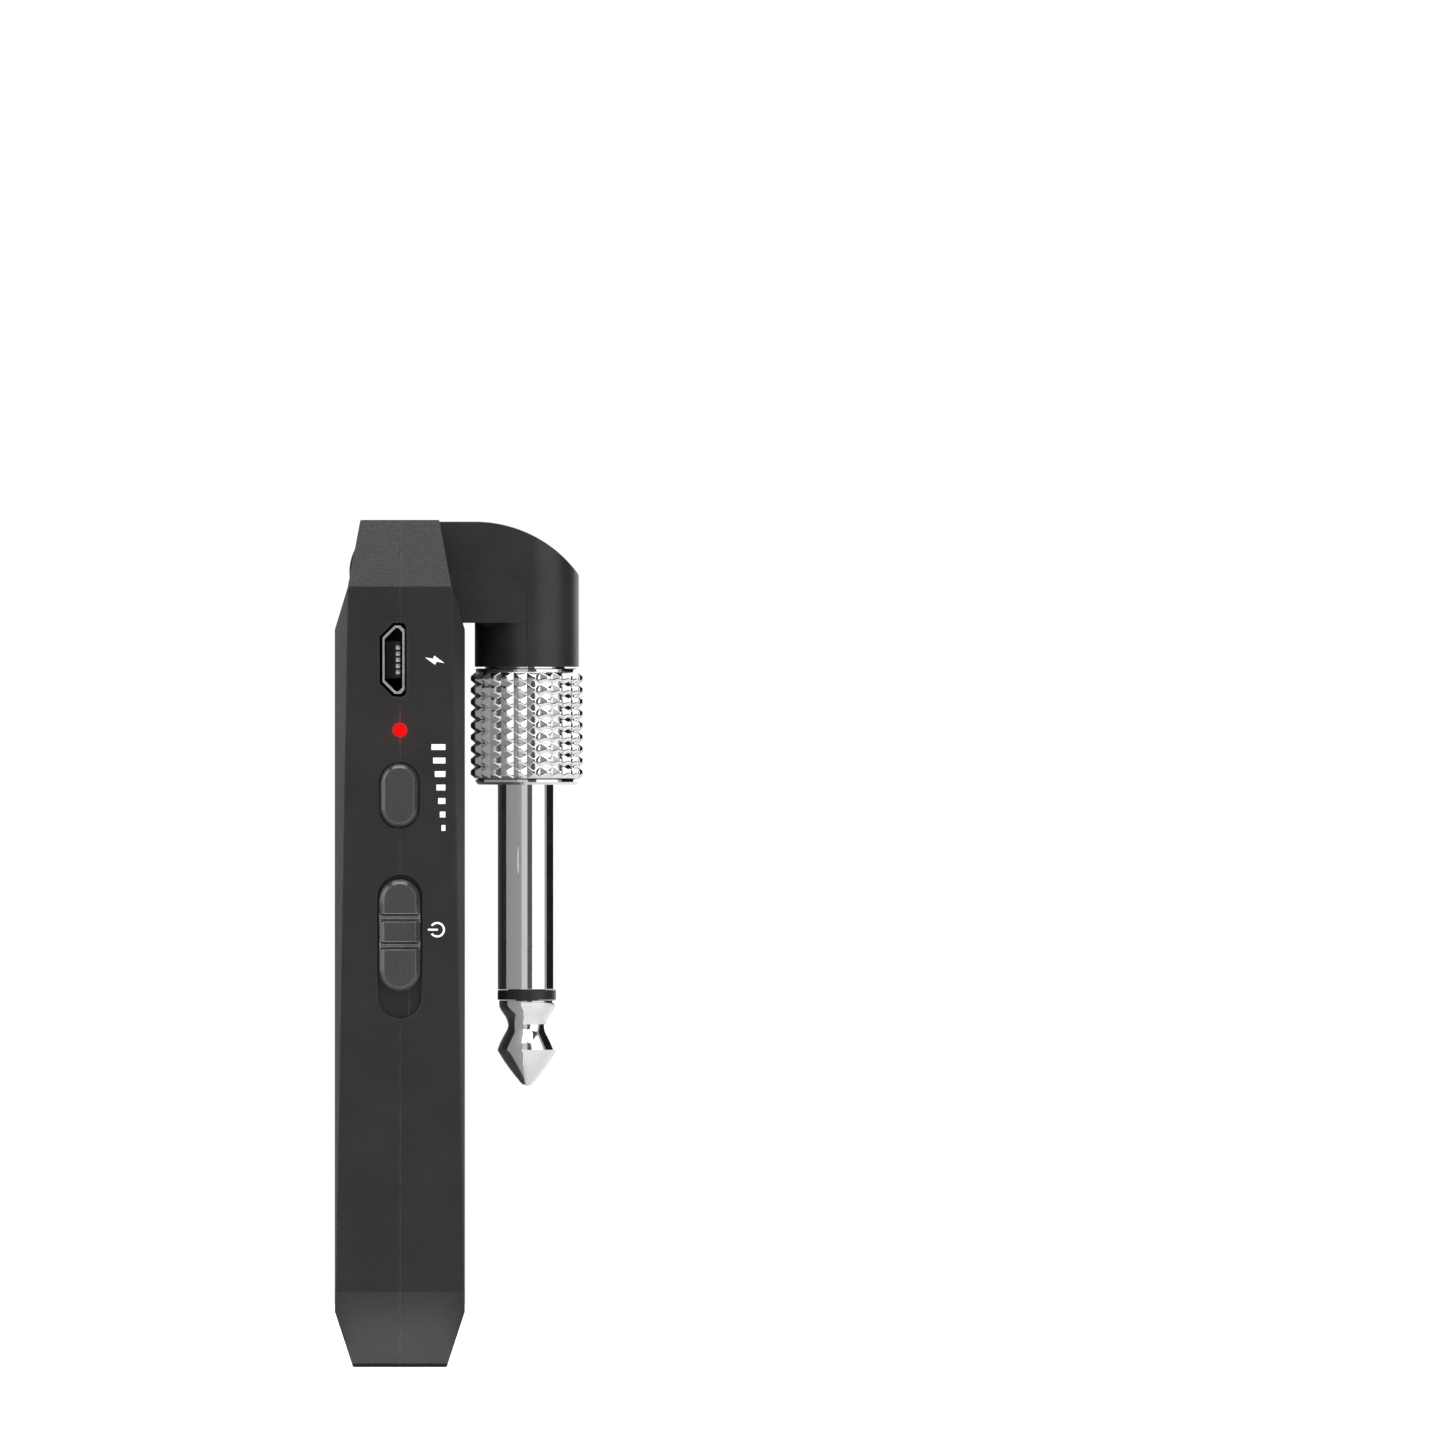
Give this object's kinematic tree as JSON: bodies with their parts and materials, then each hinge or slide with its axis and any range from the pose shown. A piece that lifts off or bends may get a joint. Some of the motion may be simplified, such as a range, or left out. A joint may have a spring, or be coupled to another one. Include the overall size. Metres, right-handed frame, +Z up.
{
  "type": "wireless guitar transmitter",
  "caption": "Slim battery transmitter with a swivelling quarter-inch plug that folds beside its case, a charging socket, a status light, a channel button and a power slider.",
  "frame": {"origin": "centre of the case's flat bottom end, on the shells' seam and level with that end", "axes": "+Z up the case towards the hinge, +X from the seam to the side where the plug folds, -Y out of the narrow side that holds the controls"},
  "size_m": [0.0268, 0.0346, 0.0912],
  "materials": {
    "case_black": "fine moulded texture, charcoal black",
    "arm_black": "smooth satin, charcoal black",
    "control_black": "fine satin, dark grey",
    "insulator_black": "satin black",
    "plated_metal": "polished nickel-chrome plating",
    "steel": "plain bright steel",
    "brass": "machined",
    "red_lens": "glowing translucent red",
    "circuit_board": "green solder mask",
    "chip_black": "moulded epoxy",
    "ceramic_white": "matt",
    "cell_foil": "satin foil",
    "foam_grey": "open foam",
    "red_wire": "wire insulation",
    "black_wire": "wire insulation"
  },
  "bodies": {
    "housing": {"left_shell": "case_black", "right_shell": "case_black", "case_screw_1": "steel", "case_screw_2": "steel", "case_screw_3": "steel", "case_screw_4": "steel", "hinge_bush_front": "brass", "hinge_bush_rear": "brass", "main_board": "circuit_board", "usb_socket_shell": "steel", "usb_contact_tongue": "insulator_black", "status_light_pipe": "red_lens", "status_led": "ceramic_white", "channel_switch_body": "chip_black", "power_switch_body": "steel", "radio_shield_can": "steel", "audio_codec_chip": "chip_black", "charge_controller_chip": "chip_black", "ceramic_antenna": "ceramic_white", "battery_cell": "cell_foil", "battery_foam_pad": "foam_grey", "battery_connector": "ceramic_white", "battery_lead_positive": "red_wire", "battery_lead_negative": "black_wire", "signal_wire": "red_wire", "ground_wire": "black_wire"},
    "channel_button": {"channel_button": "control_black", "channel_switch_plunger": "ceramic_white"},
    "power_slider": {"power_slider_knob": "control_black", "power_switch_lever": "ceramic_white"},
    "plug_arm": {"arm_outer_shell": "arm_black", "arm_inner_shell": "arm_black", "arm_screw_1": "steel", "arm_screw_2": "steel", "hinge_axle": "steel", "hinge_clip_front": "steel", "hinge_clip_rear": "steel", "hinge_spring_washer_front": "steel", "hinge_spring_washer_rear": "steel", "tip_wire": "red_wire", "sleeve_wire": "black_wire", "knurled_collar": "plated_metal", "plug_sleeve": "plated_metal", "plug_insulator_ring": "insulator_black", "plug_inner_insulator": "insulator_black", "plug_tip": "plated_metal", "plug_tip_rod": "brass", "tip_solder_lug": "brass", "sleeve_solder_lug": "brass"}
  },
  "joints": [
    {"name": "plug_arm_swivel", "type": "hinge", "parent": "housing", "child": "plug_arm", "pos_m": [0, 0, 0.0856], "axis": [0, -1, 0], "range_deg": [0, 190]},
    {"name": "channel_button_press", "type": "slide", "parent": "housing", "child": "channel_button", "axis": [0, 1, 0], "range_m": [0, 0.0004], "stiffness_N_per_m": 4000, "springref_m": -0.0002},
    {"name": "power_slider_slide", "type": "slide", "parent": "housing", "child": "power_slider", "axis": [0, 0, -1], "range_m": [0, 0.0027]}
  ]
}
